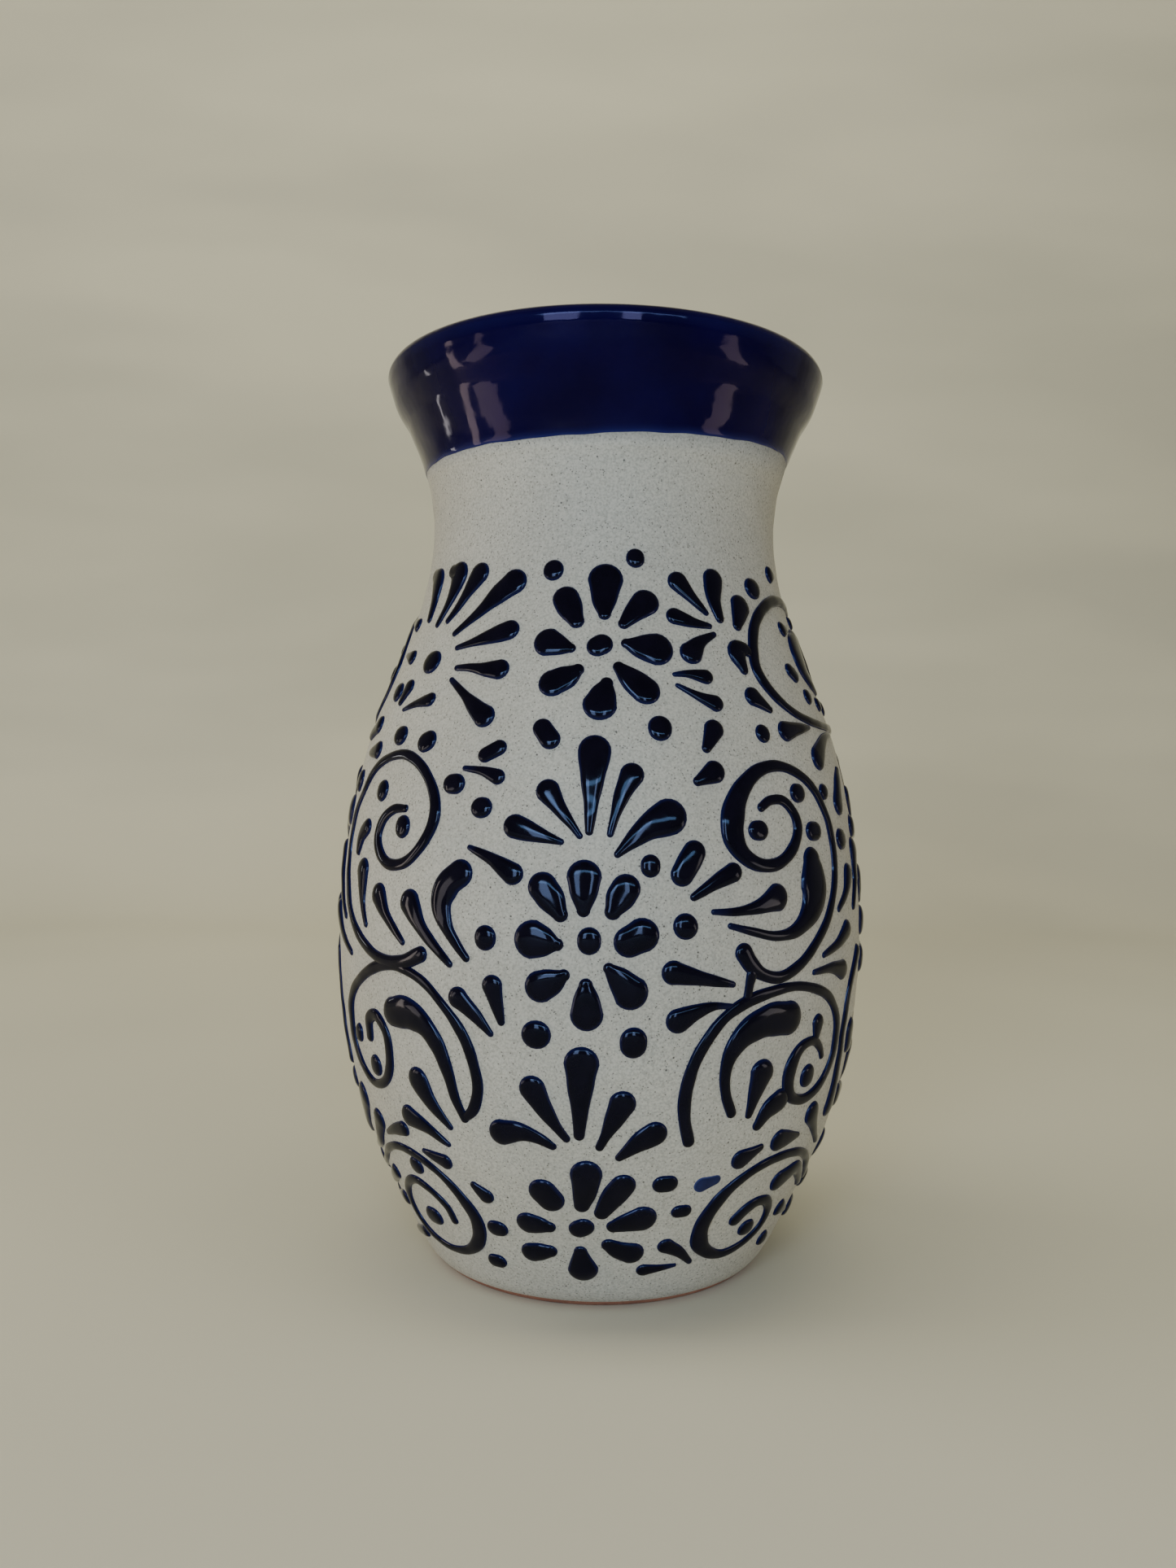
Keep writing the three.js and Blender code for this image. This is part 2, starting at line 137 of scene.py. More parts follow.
def add_camera():
    """A phone's main lens before the vase, at about half its height, leaning by under a degree."""
    pitch, roll = np.radians(CAMERA_PITCH_ROLL)
    forward = np.array([0, math.cos(pitch), math.sin(pitch)])
    right = np.array([1.0, 0, 0])
    up = np.cross(right, forward)
    tilted_right = math.cos(roll) * right + math.sin(roll) * up
    tilted_up = -math.sin(roll) * right + math.cos(roll) * up
    data = bpy.data.cameras.new("camera")
    data.sensor_width = SENSOR_WIDTH
    data.lens = LENS
    data.clip_start = 0.01
    camera = bpy.data.objects.new("camera", data)
    rows = np.stack([tilted_right, tilted_up, -forward], 1)
    camera.matrix_world = Matrix([[*rows[i], CAMERA_AT[i]] for i in range(3)] + [[0, 0, 0, 1]])
    bpy.context.collection.objects.link(camera)
    bpy.context.scene.camera = camera


add_camera()


# ---- node helpers ----
def new_material(name):
    material = bpy.data.materials.new(name)
    material.use_nodes = True
    tree = material.node_tree
    return material, tree, tree.nodes["Principled BSDF"]


def node(tree, kind, inputs=None, **settings):
    """A shader node with its settings, and with each input set or linked."""
    made = tree.nodes.new(kind)
    for key, value in settings.items():
        setattr(made, key, value)
    for key, value in (inputs or {}).items():
        if isinstance(value, bpy.types.NodeSocket):
            tree.links.new(value, made.inputs[key])
        else:
            made.inputs[key].default_value = value
    return made


def object_place(tree):
    return node(tree, "ShaderNodeTexCoord").outputs["Object"]


def thin_places(tree):
    """The mesh's own measure of where glaze is thin, 0 to 1; round the rim's lip it also carries a faint
    painted highlight.
    """
    return node(tree, "ShaderNodeAttribute", attribute_name="thin").outputs["Fac"]


def noise(tree, place, scale, detail, rough):
    """A cloudy pattern, with about scale clouds to the metre."""
    inputs = {"Vector": place, "Scale": scale, "Detail": detail, "Roughness": rough}
    return node(tree, "ShaderNodeTexNoise", inputs).outputs["Fac"]


def ramp(tree, value, low, high, to_low=0.0, to_high=1.0):
    """value, stretched from low..high to to_low..to_high and clamped."""
    inputs = {"Value": value, "From Min": low, "From Max": high, "To Min": to_low, "To Max": to_high}
    return node(tree, "ShaderNodeMapRange", inputs).outputs["Result"]


def mix_color(tree, amount, first, second):
    """A colour between first and second; each is a socket or three numbers."""
    factor, color_a, color_b, mixed = 0, 6, 7, 2  # sockets of a Mix node set to colours
    inputs = {factor: amount}
    for key, value in ((color_a, first), (color_b, second)):
        inputs[key] = value if isinstance(value, bpy.types.NodeSocket) else (*value, 1)
    return node(tree, "ShaderNodeMix", inputs, data_type="RGBA").outputs[mixed]


def math_node(tree, operation, first, second):
    return node(tree, "ShaderNodeMath", {0: first, 1: second}, operation=operation).outputs[0]


def scaled(color, factor):
    return [channel * factor for channel in color]


def bump(tree, height, strength, distance, under=None):
    """The normal of a surface roughened by a height, on top of the one under it."""
    made = node(tree, "ShaderNodeBump", {"Height": height, "Strength": strength, "Distance": distance})
    if under:
        tree.links.new(under, made.inputs["Normal"])
    return made.outputs["Normal"]


# ---- materials ----
def slip_material(name, tone):
    """Matte off-white slip: cloudy tone, fine sandy grain, dark iron specks and a few larger ones."""
    fine_specks, large_specks = (1300, 0.36, 0.34, 0.8), (430, 0.17, 0.22, 0.95)
    iron = (0.07, 0.065, 0.06)
    material, tree, shader = new_material(name)
    place = object_place(tree)
    cloud = noise(tree, place, 22, 4, 0.6)
    color = mix_color(tree, ramp(tree, cloud, 0.35, 0.68), scaled(tone, 0.93), scaled(tone, 1.04))
    smoke = noise(tree, place, 55, 3, 0.6)
    cool = [tone[0] * 0.86, tone[1] * 0.9, tone[2] * 0.95]
    color = mix_color(tree, ramp(tree, smoke, 0.58, 0.78, 0, 0.45), color, cool)
    grain = noise(tree, place, 1500, 2, 0.6)
    color = mix_color(tree, ramp(tree, grain, 0.32, 0.60, 0.72, 0.0), color, scaled(tone, 0.55))
    for size, reach, chance, depth in (fine_specks, large_specks):
        cells = node(tree, "ShaderNodeTexVoronoi", {"Vector": place, "Scale": size}, feature="F1")
        near = ramp(tree, cells.outputs["Distance"], reach * 0.4, reach, 1, 0)
        picked = math_node(tree, "LESS_THAN", cells.outputs["Color"], chance)
        speck = math_node(tree, "MULTIPLY", math_node(tree, "MULTIPLY", near, picked), depth)
        color = mix_color(tree, speck, color, iron)
    tree.links.new(color, shader.inputs["Base Color"])
    shader.inputs["Specular IOR Level"].default_value = 0.35
    tree.links.new(ramp(tree, smoke, 0.3, 0.7, 0.52, 0.66), shader.inputs["Roughness"])
    fine = bump(tree, noise(tree, place, 900, 3, 0.6), strength=0.22, distance=0.00012)
    broad = bump(tree, noise(tree, place, 120, 3, 0.5), strength=0.25, distance=0.0004, under=fine)
    tree.links.new(broad, shader.inputs["Normal"])
    return material


def rim_material():
    """Deep cobalt glaze: nearly black where it is thick, bluer where it thins at its lower edge; faintly
    bluer round the lip, partly where it breaks thin over the edge and partly a painted highlight.
    """
    material, tree, shader = new_material("rim_glaze_finish")
    place = object_place(tree)
    pool = noise(tree, place, 40, 3, 0.5)
    deep = mix_color(tree, ramp(tree, pool, 0.35, 0.7), (0.0018, 0.0002, 0.021), (0.0030, 0.0005, 0.038))
    # Bluer where the mesh marks thin glaze: real thinning at the band's lower edge, and round the lip a faint
    # painted highlight that is partly glaze breaking over the edge.
    color = mix_color(tree, thin_places(tree), deep, (0.016, 0.021, 0.135))
    tree.links.new(color, shader.inputs["Base Color"])
    shader.inputs["Specular IOR Level"].default_value = 0.32
    shader.inputs["Specular Tint"].default_value = (0.24, 0.21, 0.40, 1)
    film = noise(tree, place, 260, 2, 0.5)
    tree.links.new(ramp(tree, film, 0.3, 0.75, 0.05, 0.11), shader.inputs["Roughness"])
    waves = bump(tree, noise(tree, place, 95, 2, 0.5), strength=0.26, distance=0.0008)
    peel = bump(tree, noise(tree, place, 700, 1, 0.5), strength=0.05, distance=0.0001, under=waves)
    tree.links.new(peel, shader.inputs["Normal"])
    return material


def stroke_material(name, core, edge):
    """Thick cobalt slip under gloss: black-blue in the middle, bluer at the thin edge and the tips."""
    material, tree, shader = new_material(name)
    place = object_place(tree)
    cloud = noise(tree, place, 160, 3, 0.6)
    body = mix_color(tree, ramp(tree, cloud, 0.35, 0.7), core, scaled(core, 1.7))
    color = mix_color(tree, thin_places(tree), body, edge)
    tree.links.new(color, shader.inputs["Base Color"])
    shader.inputs["Specular IOR Level"].default_value = 0.19
    shader.inputs["Specular Tint"].default_value = (0.52, 0.64, 1, 1)
    film = noise(tree, place, 500, 2, 0.5)
    tree.links.new(ramp(tree, film, 0.3, 0.75, 0.05, 0.13), shader.inputs["Roughness"])
    lumps = bump(tree, noise(tree, place, 140, 1, 0.4), strength=0.12, distance=0.0005)
    tree.links.new(lumps, shader.inputs["Normal"])
    return material


def clay_material():
    """Bare red clay: gritty and matte, a little burnt."""
    material, tree, shader = new_material("bare_clay_finish")
    place = object_place(tree)
    cloud = noise(tree, place, 60, 4, 0.6)
    color = mix_color(tree, ramp(tree, cloud, 0.3, 0.7), (0.20, 0.075, 0.045), (0.33, 0.15, 0.09))
    grit = noise(tree, place, 1400, 2, 0.6)
    color = mix_color(tree, ramp(tree, grit, 0.55, 0.7, 0, 0.5), color, (0.10, 0.04, 0.03))
    tree.links.new(color, shader.inputs["Base Color"])
    shader.inputs["Roughness"].default_value = 0.85
    tree.links.new(bump(tree, grit, strength=0.4, distance=0.0002), shader.inputs["Normal"])
    return material


SLIP = slip_material("white_slip_finish", (0.515, 0.50, 0.435))
INNER_SLIP = slip_material("inner_slip_finish", (0.46, 0.45, 0.40))
RIM = rim_material()
STROKE = stroke_material("stroke_finish", (0.0024, 0.0017, 0.0052), (0.006, 0.008, 0.060))
RUBBED = stroke_material("rubbed_stroke_finish", (0.010, 0.014, 0.060), (0.05, 0.07, 0.20))
CLAY = clay_material()


# ---- turned pieces ----
def add_mesh(name, vertices, faces, material, stands_for, thin=None):
    """A piece of the vase from points in mm, riding on the one body."""
    mesh = bpy.data.meshes.new(name)
    mesh.from_pydata((np.asarray(vertices) * MM).tolist(), [], faces)
    mesh.validate()
    mesh.polygons.foreach_set("use_smooth", [True] * len(mesh.polygons))
    if thin is not None:
        layer = mesh.attributes.new("thin", "FLOAT", "POINT")
        layer.data.foreach_set("value", np.asarray(thin, np.float32))
    mesh.materials.append(material)
    piece = bpy.data.objects.new(name, mesh)
    bpy.context.collection.objects.link(piece)
    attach(piece, "root")
    if stands_for:
        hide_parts(*stands_for)
    return piece


def turned(rings, closed):
    """Vertices and faces from rings of points, each TURNS long; an open end is drawn together at the axis."""
    count = len(rings)
    vertices = np.concatenate(rings)
    column = np.arange(TURNS)
    beside = (column + 1) % TURNS
    faces = []
    for i in range(count if closed else count - 1):
        low, high = i * TURNS, ((i + 1) % count) * TURNS
        faces += np.stack([low + column, low + beside, high + beside, high + column], 1).tolist()
    if not closed:
        middle = len(vertices)
        ends = [rings[0].mean(0), rings[-1].mean(0)]
        vertices = np.concatenate([vertices, ends])
        faces += [[middle, b, a] for a, b in zip(column.tolist(), beside.tolist())]
        top = (count - 1) * TURNS
        faces += [[middle + 1, top + a, top + b] for a, b in zip(column.tolist(), beside.tolist())]
    return vertices, faces


AROUND = np.arange(TURNS) * 360 / TURNS


def ring(radius, z):
    a = np.radians(AROUND)
    z = z + 0 * a
    return np.stack([radius * np.sin(a), -radius * np.cos(a), z], -1)


def wall_ring(z, depth):
    """A ring of the wall, moved in towards the axis by a depth."""
    z = z + 0 * AROUND
    return ring(wall_radius(z) + hand(AROUND, z) - depth, z)


def glaze_edge(extra=0.0):
    """Height of the dark band's lower edge round the neck, with the waver of a hand-held dip."""
    a = np.radians(AROUND)
    waver = 0.12 * np.sin(7 * a + 0.4) + 0.08 * np.sin(17 * a) + 0.06 * np.sin(31 * a + 2)
    tilt = GLAZE_TILT * np.sin(a - math.radians(GLAZE_TILT_AT)) - GLAZE_SAG * np.cos(2 * a)
    return GLAZE_LINE + tilt + waver + extra


def lip_rise(angle):
    """How far the lip rises towards the sides of the pot: it dried a little warped."""
    return LIP_WARP * (1 - np.cos(2 * np.radians(angle)))


def lip_ring(turn, depth):
    """A ring of the rounded lip: turn 0 looks outwards, 90 straight up and 180 inwards."""
    half = WALL / 2
    t = math.radians(turn)
    r = LIP_R - half + (half - depth) * math.cos(t) + hand(AROUND, LIP_AT)
    return ring(r, HEIGHT - half + lip_rise(AROUND) + (half - depth) * math.sin(t))


def make_coat():
    """The white slip, from its thin edge above the foot to under the dark band."""
    below_glaze = GLAZE_LINE - 5.5
    heights = np.concatenate([np.linspace(BARE_FOOT, 12, 14), np.linspace(13, below_glaze, 210)])
    outside = [wall_ring(BARE_FOOT - 0.1, 1.0), wall_ring(BARE_FOOT, 0.45), wall_ring(BARE_FOOT + 0.35, 0.15)]
    outside += [wall_ring(z, 0) for z in heights[2:]]
    top = [wall_ring(glaze_edge(0.6), depth) for depth in (0, SLIP_THICK)]
    inside = [wall_ring(z, SLIP_THICK) for z in np.linspace(below_glaze + 2, 3, 56)]
    vertices, faces = turned(outside + top + inside, True)
    add_mesh("white_slip", vertices, faces, SLIP, ["white_slip_coat"])


def make_rim():
    """The cobalt band: a thin rolled edge on the slip, the flare, the round lip and the neck's inside."""
    rolled = ((0.6, 0.3, 1), (0, 0, 1), (0.05, -0.12, 0.9), (0.35, -0.24, 0.55), (0.9, -0.3, 0.25),
              (1.8, -GLAZE_STEP, 0.06))  # height above the edge, depth and thinness
    rings = [wall_ring(glaze_edge(extra), depth) for extra, depth, _ in rolled]
    start = glaze_edge(rolled[-1][0])
    for t in np.linspace(0, 1, 40)[1:]:
        z = start + (LIP_AT - start) * t
        rings.append(ring(wall_radius(z) + hand(AROUND, z) + GLAZE_STEP * (1 - t), z + lip_rise(AROUND) * t))
    thin = [fade for _, _, fade in rolled] + [0] * (len(rings) - len(rolled))
    for turn in np.linspace(4, 172, 26):
        rings.append(lip_ring(turn, 0))
        # A faint bluer line round the lip's outer turn: partly glaze breaking thin over the edge, partly a
        # painted highlight streak along the lip.
        thin.append(0.1 * math.exp(-((turn - 6) / 7) ** 2))
    for t in np.linspace(0, 1, 24):
        z = LIP_INSIDE_AT + (GLAZE_INSIDE - LIP_INSIDE_AT) * t
        rings.append(wall_ring(z, WALL) + [0, 0, 1] * lip_rise(AROUND)[:, None] * (1 - t))
    rings += [wall_ring(z, WALL - GLAZE_THICK) for z in np.linspace(GLAZE_INSIDE, LIP_INSIDE_AT, 9)]
    rings += [lip_ring(turn, GLAZE_THICK) for turn in (165, 130, 90, 50, 15)]
    rings += [wall_ring(z, GLAZE_THICK) for z in np.linspace(LIP_INSIDE_AT, 256, 5)]
    thin += [0] * (len(rings) - len(thin))
    vertices, faces = turned(rings, True)
    add_mesh("rim_band", vertices, faces, RIM, ["rim_glaze"], np.repeat(thin, TURNS))


CLAY_COURSES = ["clay_foot", "clay_belly_low", "clay_belly_high", "clay_shoulder", "clay_neck", "clay_mouth"]


def make_clay():
    """The thrown pot itself; only its foot shows."""
    rings = [ring(r, 0.35) for r in (20, 40, 44.5)]
    rings += [ring(45.3, 0.12), ring(46.2, 0.0), ring(48.6, 0.0), ring(49.5, 0.12), ring(50.1, 0.5)]
    rings += [wall_ring(z, 0.35) for z in (1.0, 1.5, BARE_FOOT)]
    rings += [wall_ring(z, CLAY_INSET) for z in (3, 6, 12, *np.linspace(20, LIP_INSIDE_AT, 64))]
    rings += [lip_ring(turn, CLAY_INSET) for turn in (15, 50, 90, 130, 165)]
    rings += [wall_ring(z, WALL - CLAY_INSET) for z in np.linspace(LIP_INSIDE_AT, 24, 50)]
    rings += [ring(44.8, FLOOR + 1.5), ring(36, FLOOR), ring(10, FLOOR)]
    vertices, faces = turned(rings, False)
    add_mesh("clay_pot", vertices, faces, CLAY, CLAY_COURSES)


def make_lining():
    """The slip inside, with faint spiral throwing rings down to the floor."""
    top = GLAZE_INSIDE - 0.3
    rings = [ring(10, FLOOR + 0.3), ring(36, FLOOR + 0.3), ring(44.5, FLOOR + 1.8)]
    rings += [wall_ring(z, WALL - GLAZE_THICK) for z in np.linspace(24, top, 30)]
    for z in np.linspace(top, 24, 160):
        swirl = 0.35 * np.sin(z * 0.42 - np.radians(AROUND))
        rings.append(ring(wall_radius(z) - (WALL + 0.2) + swirl, z))
    rings += [ring(52, 18.0), ring(47.5, 13.2), ring(43, 11.4), ring(36, 10.4), ring(24, 10.0), ring(10, 9.9)]
    vertices, faces = turned(rings, False)
    add_mesh("inner_slip_lining", vertices, faces, INNER_SLIP, ["inner_lining"])


make_coat()
make_rim()
make_clay()
make_lining()


# ---- raised strokes ----
# A stroke is a list of [angle, height, width] points that the trailed slip ran through.
SPACING = 0.6  # mm between the sections of a bead
BED = -0.15  # how deep a bead's underside sits in the coat
RISE = 1.35  # how proud of the coat a wide bead stands
ACROSS = -np.cos(np.linspace(0, math.pi, 15))
CAP_TURNS = np.radians([84, 70, 54, 36, 18])


def along(stroke):
    """A centripetal curve through a stroke's points, as many rows of angle, height and width."""
    p = np.array(stroke, float)
    p = np.vstack([2 * p[0] - p[1], p, 2 * p[-1] - p[-2]])
    steps = np.sqrt(np.linalg.norm(np.diff(p, axis=0), axis=1))
    t = np.linspace(0, 1, 24, endpoint=False)[:, None]
    rows = []
    for i in range(1, len(p) - 2):
        before, here, after = steps[i - 1:i + 2]
        step = p[i + 1] - p[i]
        leave = step + here * ((p[i] - p[i - 1]) / before - (p[i + 1] - p[i - 1]) / (before + here))
        arrive = step + here * ((p[i + 2] - p[i + 1]) / after - (p[i + 2] - p[i]) / (here + after))
        bend = 3 * step - 2 * leave - arrive
        twist = leave + arrive - 2 * step
        rows.append(p[i] + leave * t + bend * t**2 + twist * t**3)
    return np.vstack(rows + [p[-2:-1]])


def stations(stroke, hand_draw):
    """Even sections along a stroke, with the small unsteadiness of the hand that trailed it."""
    line = along(stroke)
    sa, sz = scale_at(line[:, 1])
    ahead = np.diff(line[:, :2], axis=0)
    reach = np.concatenate([[0], np.cumsum(np.hypot(ahead[:, 0] * sa[1:], ahead[:, 1] * sz[1:]))])
    count = max(4, round(reach[-1] / SPACING))
    s = np.linspace(0, reach[-1], count)
    angle, z, width = (np.interp(s, reach, line[:, k]) for k in range(3))
    phases = hand_draw.uniform(0, 2 * math.pi, 4)
    width = width * (1 + 0.02 * np.sin(s * 0.8 + phases[0]) + 0.03 * np.sin(s * 0.3 + phases[1]))
    sa, sz = scale_at(z)
    hx, hz = np.gradient(angle) * sa, np.gradient(z) * sz
    length = np.hypot(hx, hz)
    lift = 1 + 0.04 * np.sin(s * 0.35 + phases[2]) + 0.015 * np.sin(s * 0.8 + phases[3])
    return angle, z, width / 2, hx / length, hz / length, lift


def capped(row, sense):
    """Sections of the round end beyond a station, from the tip towards it, and how far out each one is."""
    angle, z, half, hx, hz, lift = row
    sa, sz = scale_at(z)
    out = np.sin(CAP_TURNS)
    reach = sense * half * out
    kept = [np.full_like(out, value) for value in (half, hx, hz, lift)]
    return np.stack([angle + reach * hx / sa, z + reach * hz / sz, *kept]), out


def bead(stroke, hand_draw, turn, rise):
    """One bead of slip along a stroke: a domed top with round ends, closed by a bed inside the coat."""
    body = np.stack(stations(stroke, hand_draw))
    first, out = capped(body[:, 0], -1)
    last, _ = capped(body[:, -1], 1)
    angle, z, half, hx, hz, lift = np.hstack([first, body, last[:, ::-1]])
    end = np.concatenate([out, np.zeros(body.shape[1]), out[::-1]])[:, None]
    inside = np.sqrt(1 - end**2)
    edge = np.sqrt(end**2 + (ACROSS * inside) ** 2)
    top = rise * (1 - np.exp(-half / 1.5)) * lift
    height = top[:, None] * np.sqrt(np.clip(1 - edge**2.6, 0, 1))
    across = ACROSS * inside * half[:, None]
    across = np.hstack([across, across[:, -1:], across[:, :1]])
    height = np.hstack([height, np.full((len(z), 2), BED)])
    sa, sz = scale_at(z)
    angles = angle[:, None] - across * (hz / sa)[:, None] + turn
    heights = z[:, None] + across * (hx / sz)[:, None]
    points = on_surface(angles, heights, height)
    thin = np.clip((edge - 0.82) / 0.18, 0, 1) + np.clip((1.15 - half) / 0.7, 0, 0.7)[:, None]
    thin = np.hstack([np.clip(thin, 0, 1), np.ones((len(z), 2))])
    tips = []
    for i, sense in ((0, -1), (-1, 1)):
        reach = sense * half[i] * (1 - out[0])
        tips.append(on_surface(angle[i] + reach * hx[i] / sa[i] + turn, z[i] + reach * hz[i] / sz[i], BED))
    rows, loop = points.shape[:2]
    k = np.arange(loop)
    beside = (k + 1) % loop
    starts = np.arange(rows - 1)[:, None] * loop
    faces = np.stack([starts + k, starts + beside, starts + loop + beside, starts + loop + k], -1)
    faces = faces.reshape(-1, 4).tolist()
    tip = rows * loop
    back = (rows - 1) * loop
    faces += [[tip, b, a] for a, b in zip(k.tolist(), beside.tolist())]
    faces += [[tip + 1, back + a, back + b] for a, b in zip(k.tolist(), beside.tolist())]
    return np.vstack([points.reshape(-1, 3), tips]), faces, np.concatenate([thin.ravel(), [1, 1]])


def dot(angle, z, width, height=None, tilt=0):
    """A dot or an oval: a very short stroke along its longer side."""
    height = height or width
    reach = max(abs(width - height) / 2, 0.1)
    turn = math.radians(tilt if width >= height else tilt + 90)
    sa, sz = scale_at(z)
    across, up = reach * math.cos(turn) / sa, reach * math.sin(turn) / sz
    small = min(width, height)
    return [[angle - across, z - up, small], [angle + across, z + up, small]]


seeds = itertools.count(1)


def add_strokes(name, strokes, turn=0, material=STROKE, stands_for=None, rise=RISE):
    """One piece from strokes that belong together, each with its own unsteadiness."""
    all_points, all_faces, all_thin, count = [], [], [], 0
    for stroke in strokes:
        points, faces, thin = bead(stroke, np.random.default_rng(next(seeds)), turn, rise)
        all_points.append(points)
        all_faces += [[v + count for v in face] for face in faces]
        all_thin.append(thin)
        count += len(points)
    thin = np.concatenate(all_thin)
    add_mesh(name, np.vstack(all_points), all_faces, material, stands_for, thin)


# The front column, up the middle of the pot: three eight-petalled rosettes and two fans of drops.
COLUMN = {
    "rosette_high_heart": [[-1.9, 186.4, 6.2], [-0.9, 187, 6.4]],
    "rosette_high_petal_n": [[-0.1, 205.8, 9.6], [-0.4, 199.5, 7], [-0.3, 195.8, 3.8]],
    "rosette_high_petal_ne": [[10.4, 199.5, 7.8], [7.2, 196.3, 6], [4.6, 193.1, 3.4]],
    "rosette_high_petal_e": [[12.2, 186, 10], [8, 186.6, 7.2], [5, 187.4, 3]],
    "rosette_high_petal_se": [[9, 174.1, 8.6], [5.5, 177.8, 6.4], [3.1, 180.6, 3.2]],
    "rosette_high_petal_s": [[-1.1, 170.2, 9.4], [-0.3, 173.6, 7], [0.3, 175.9, 3.8]],
    "rosette_high_petal_sw": [[-11.8, 176, 8.4], [-8.6, 177.8, 6.8], [-6.3, 179.7, 3.6]],
    "rosette_high_petal_w": [[-13.8, 187.6, 8.6], [-10.8, 186.6, 6], [-8.3, 185.9, 2.8]],
    "rosette_high_petal_nw": [[-10.6, 200.4, 7.6], [-9, 197, 7], [-7.4, 193.8, 4.8]],
    "fan_high_centre": [[-2, 157.4, 8.8], [-2.3, 150, 6.6], [-2.5, 142.5, 3.8], [-2.75, 136.2, 2.2]],
    "fan_high_mid_left": [[-10.9, 146.6, 6.6], [-8.2, 141.6, 4], [-6, 137.8, 2.4], [-4.5, 135, 1.7]],
    "fan_high_mid_right": [[5.4, 151.2, 6.6], [3.6, 146.4, 4.6], [2.2, 140.8, 2.8], [1.2, 135.6, 1.9]],
    "fan_high_left": [[-17, 137.2, 7], [-13.3, 135.6, 5], [-10, 134.2, 2.8], [-8, 133.4, 1.8]],
    "fan_high_right": [[12.4, 140.2, 10], [8.6, 137.6, 7.6], [5, 133.6, 4.2], [2.6, 130.4, 2]],
    "rosette_mid_heart": [[-2.4, 107.4, 6.6], [-2.4, 108.4, 6.6]],
    "rosette_mid_petal_n": [[-3.5, 124.3, 9.3], [-3.5, 120, 7.4], [-3.5, 115.8, 3.8]],
    "rosette_mid_petal_ne": [[4.1, 121.5, 7.8], [2.9, 118.6, 7.2], [1.8, 115.6, 4.6]],
    "rosette_mid_petal_e": [[7.1, 109.5, 9.4], [4.8, 107.8, 8.6]],
    "rosette_mid_petal_se": [[5.1, 94.8, 9.6], [3, 98.3, 6.4], [1.2, 100.9, 3]],
    "rosette_mid_petal_s": [[-2.7, 88.8, 8.6], [-2.8, 93, 7.2], [-2.9, 96.4, 3.8]],
    "rosette_mid_petal_sw": [[-11.1, 95.8, 9], [-8.8, 97.3, 7], [-6.9, 98.9, 3.4]],
    "rosette_mid_petal_w": [[-12.6, 107.9, 10], [-10.2, 107.3, 7.8], [-8.2, 106.8, 3.4]],
    "rosette_mid_petal_nw": [[-11.1, 121.6, 8.4], [-9.4, 118.4, 7.6], [-7.7, 114.6, 4.2]],
    "fan_low_centre": [[-3.6, 75.6, 9.2], [-3.8, 68, 6.8], [-3.9, 61, 4], [-4.05, 56, 3]],
    "fan_low_mid_left": [[-13, 68.4, 7.2], [-10.9, 63.2, 5], [-8.4, 58, 3], [-6.6, 54.9, 2.2]],
    "fan_low_mid_right": [[4.2, 64.9, 7.2], [2.6, 60.2, 5.2], [1, 55.6, 3], [0, 52.8, 2.4]],
    "fan_low_left": [[-19.8, 55.4, 7.6], [-16, 56, 5.6], [-12.2, 54.6, 3.6], [-9.4, 52.5, 2.2]],
    "fan_low_right": [[10.8, 56.4, 7.4], [8, 54.2, 5.8], [5.6, 51.6, 3.6], [4, 49.8, 2.2]],
    "rosette_low_heart": [[-4.4, 27.6, 6], [-3.4, 28.2, 6]],
    "rosette_low_petal_n": [[-2.7, 44.6, 8.6], [-3, 39.6, 7.2], [-3.7, 35.2, 4.6]],
    "rosette_low_petal_ne": [[5.1, 41.4, 7.2], [2.8, 37.2, 6.6], [0.8, 33, 4.4]],
    "rosette_low_petal_e": [[10, 30.8, 8.6], [6.2, 29.6, 6.6], [3.7, 28.6, 4.2]],
    "rosette_low_petal_se": [[8.5, 19.6, 7.4], [5.4, 20.7, 6.4], [2.7, 22.5, 4.2]],
    "rosette_low_petal_s": [[-3.8, 14.3, 8.8], [-4.1, 17, 6.4], [-4.3, 20.1, 3.8]],
    "rosette_low_petal_sw": [[-17, 18.6, 6.4], [-14.4, 19.2, 6.2], [-12.2, 19.6, 4.4]],
    "rosette_low_petal_w": [[-16.6, 28.3, 7], [-13.8, 28, 6], [-11.6, 27.6, 3.8]],
    "rosette_low_petal_nw": [[-12.2, 38.8, 8.6], [-10.6, 36.4, 7.8]],
}
